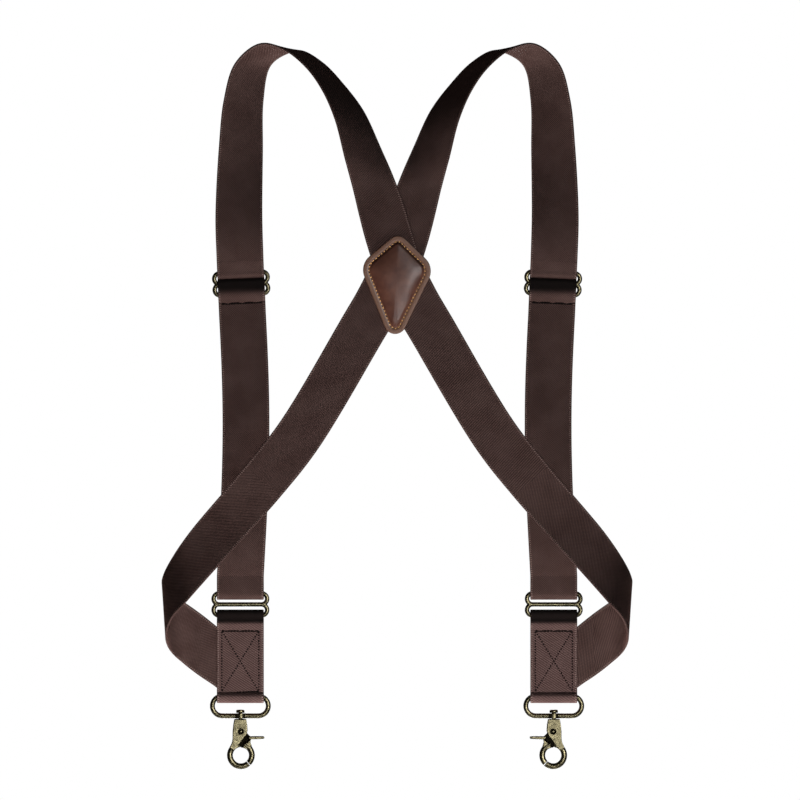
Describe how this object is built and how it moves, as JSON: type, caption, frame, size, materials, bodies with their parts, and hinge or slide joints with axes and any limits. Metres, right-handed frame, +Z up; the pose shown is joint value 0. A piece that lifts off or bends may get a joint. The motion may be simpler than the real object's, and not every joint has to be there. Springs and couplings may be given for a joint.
{
  "type": "suspenders",
  "caption": "Elastic suspenders with an X back, a leather crossing patch, sliding adjusters and swivelling trigger hooks.",
  "frame": {"origin": "midway between the two shoulder arches, at the height of their tops", "axes": "+Z up, +X to the wearer's right, +Y to the wearer's front: the leather patch on the back faces -Y"},
  "size_m": [0.3512, 0.0603, 0.5412],
  "materials": {
    "webbing": "dark brown twill elastic",
    "leather": "polished brown",
    "lining": "matt dark brown",
    "board": "pressed fibre",
    "gold_thread": "golden tan sewing thread",
    "thread": "dark brown sewing thread",
    "antique_brass": "antiqued, semi-gloss",
    "spring_steel": "drawn wire"
  },
  "bodies": {
    "root": {"long_strap_left": "webbing", "long_strap_right": "webbing", "patch_front": "leather", "patch_board": "board", "patch_lining": "lining", "patch_stitching": "gold_thread", "front_strap_left": "webbing", "running_strap_left": "webbing", "return_strap_left": "webbing", "hip_strap_left": "webbing", "front_strap_right": "webbing", "running_strap_right": "webbing", "return_strap_right": "webbing", "hip_strap_right": "webbing"},
    "adjuster_left": {"adjuster_left": "antique_brass", "woven_strap_left": "webbing", "strap_loop_left": "webbing"},
    "lower_end_left": {"strap_fold_left": "webbing", "hook_tab_left": "webbing", "tab_stitching_left": "thread", "hip_strap_end_left": "webbing"},
    "lower_slide_left": {"lower_slide_left": "antique_brass"},
    "hook_loop_left": {"hook_loop_left": "antique_brass"},
    "hook_left": {"swivel_post_left": "antique_brass", "hook_body_left": "antique_brass", "trigger_pin_left": "antique_brass", "trigger_spring_left": "spring_steel"},
    "trigger_left": {"trigger_left": "antique_brass"},
    "adjuster_right": {"adjuster_right": "antique_brass", "woven_strap_right": "webbing", "strap_loop_right": "webbing"},
    "lower_end_right": {"strap_fold_right": "webbing", "hook_tab_right": "webbing", "tab_stitching_right": "thread", "hip_strap_end_right": "webbing"},
    "lower_slide_right": {"lower_slide_right": "antique_brass"},
    "hook_loop_right": {"hook_loop_right": "antique_brass"},
    "hook_right": {"swivel_post_right": "antique_brass", "hook_body_right": "antique_brass", "trigger_pin_right": "antique_brass", "trigger_spring_right": "spring_steel"},
    "trigger_right": {"trigger_right": "antique_brass"}
  },
  "joints": [
    {"name": "adjuster_slide_left", "type": "slide", "parent": "root", "child": "adjuster_left", "axis": [-0.0419, 0, 0.9991], "range_m": [-0.06, 0.06], "deforming": ["front_strap_left", "running_strap_left", "return_strap_left"]},
    {"name": "lower_end_slide_left", "type": "slide", "parent": "root", "child": "lower_end_left", "axis": [0, 0, 1], "range_m": [-0.03, 0.03], "deforming": ["hip_strap_left"]},
    {"name": "lower_slide_rock_left", "type": "hinge", "parent": "lower_end_left", "child": "lower_slide_left", "pos_m": [-0.117, 0.022, -0.4246], "axis": [1, 0, 0], "range_deg": [-3.5, 3.5]},
    {"name": "hook_loop_swing_left", "type": "hinge", "parent": "lower_end_left", "child": "hook_loop_left", "pos_m": [-0.117, 0.022, -0.4847], "axis": [1, 0, 0], "range_deg": [-60, 60]},
    {"name": "hook_swivel_left", "type": "hinge", "parent": "hook_loop_left", "child": "hook_left", "pos_m": [-0.117, 0.022, -0.4995], "axis": [0, 0, 1], "continuous": true},
    {"name": "trigger_hinge_left", "type": "hinge", "parent": "hook_left", "child": "trigger_left", "pos_m": [-0.1166, 0.022, -0.51125], "axis": [0, -1, 0], "range_deg": [0, 22], "stiffness_Nm_per_rad": 0.02, "springref_deg": -28.65},
    {"name": "adjuster_slide_right", "type": "slide", "parent": "root", "child": "adjuster_right", "axis": [0.0419, 0, 0.9991], "range_m": [-0.06, 0.06], "deforming": ["front_strap_right", "running_strap_right", "return_strap_right"]},
    {"name": "lower_end_slide_right", "type": "slide", "parent": "root", "child": "lower_end_right", "axis": [0, 0, 1], "range_m": [-0.03, 0.03], "deforming": ["hip_strap_right"]},
    {"name": "lower_slide_rock_right", "type": "hinge", "parent": "lower_end_right", "child": "lower_slide_right", "pos_m": [0.117, 0.022, -0.4246], "axis": [1, 0, 0], "range_deg": [-3.5, 3.5]},
    {"name": "hook_loop_swing_right", "type": "hinge", "parent": "lower_end_right", "child": "hook_loop_right", "pos_m": [0.117, 0.022, -0.4847], "axis": [1, 0, 0], "range_deg": [-60, 60]},
    {"name": "hook_swivel_right", "type": "hinge", "parent": "hook_loop_right", "child": "hook_right", "pos_m": [0.117, 0.022, -0.4995], "axis": [0, 0, 1], "continuous": true},
    {"name": "trigger_hinge_right", "type": "hinge", "parent": "hook_right", "child": "trigger_right", "pos_m": [0.1166, 0.022, -0.51125], "axis": [0, 1, 0], "range_deg": [0, 22], "stiffness_Nm_per_rad": 0.02, "springref_deg": -28.65}
  ],
  "couplings": [
    {"joint": "lower_end_slide_left", "follows": "adjuster_slide_left", "ratio": 0.5},
    {"joint": "lower_end_slide_right", "follows": "adjuster_slide_right", "ratio": 0.5}
  ]
}
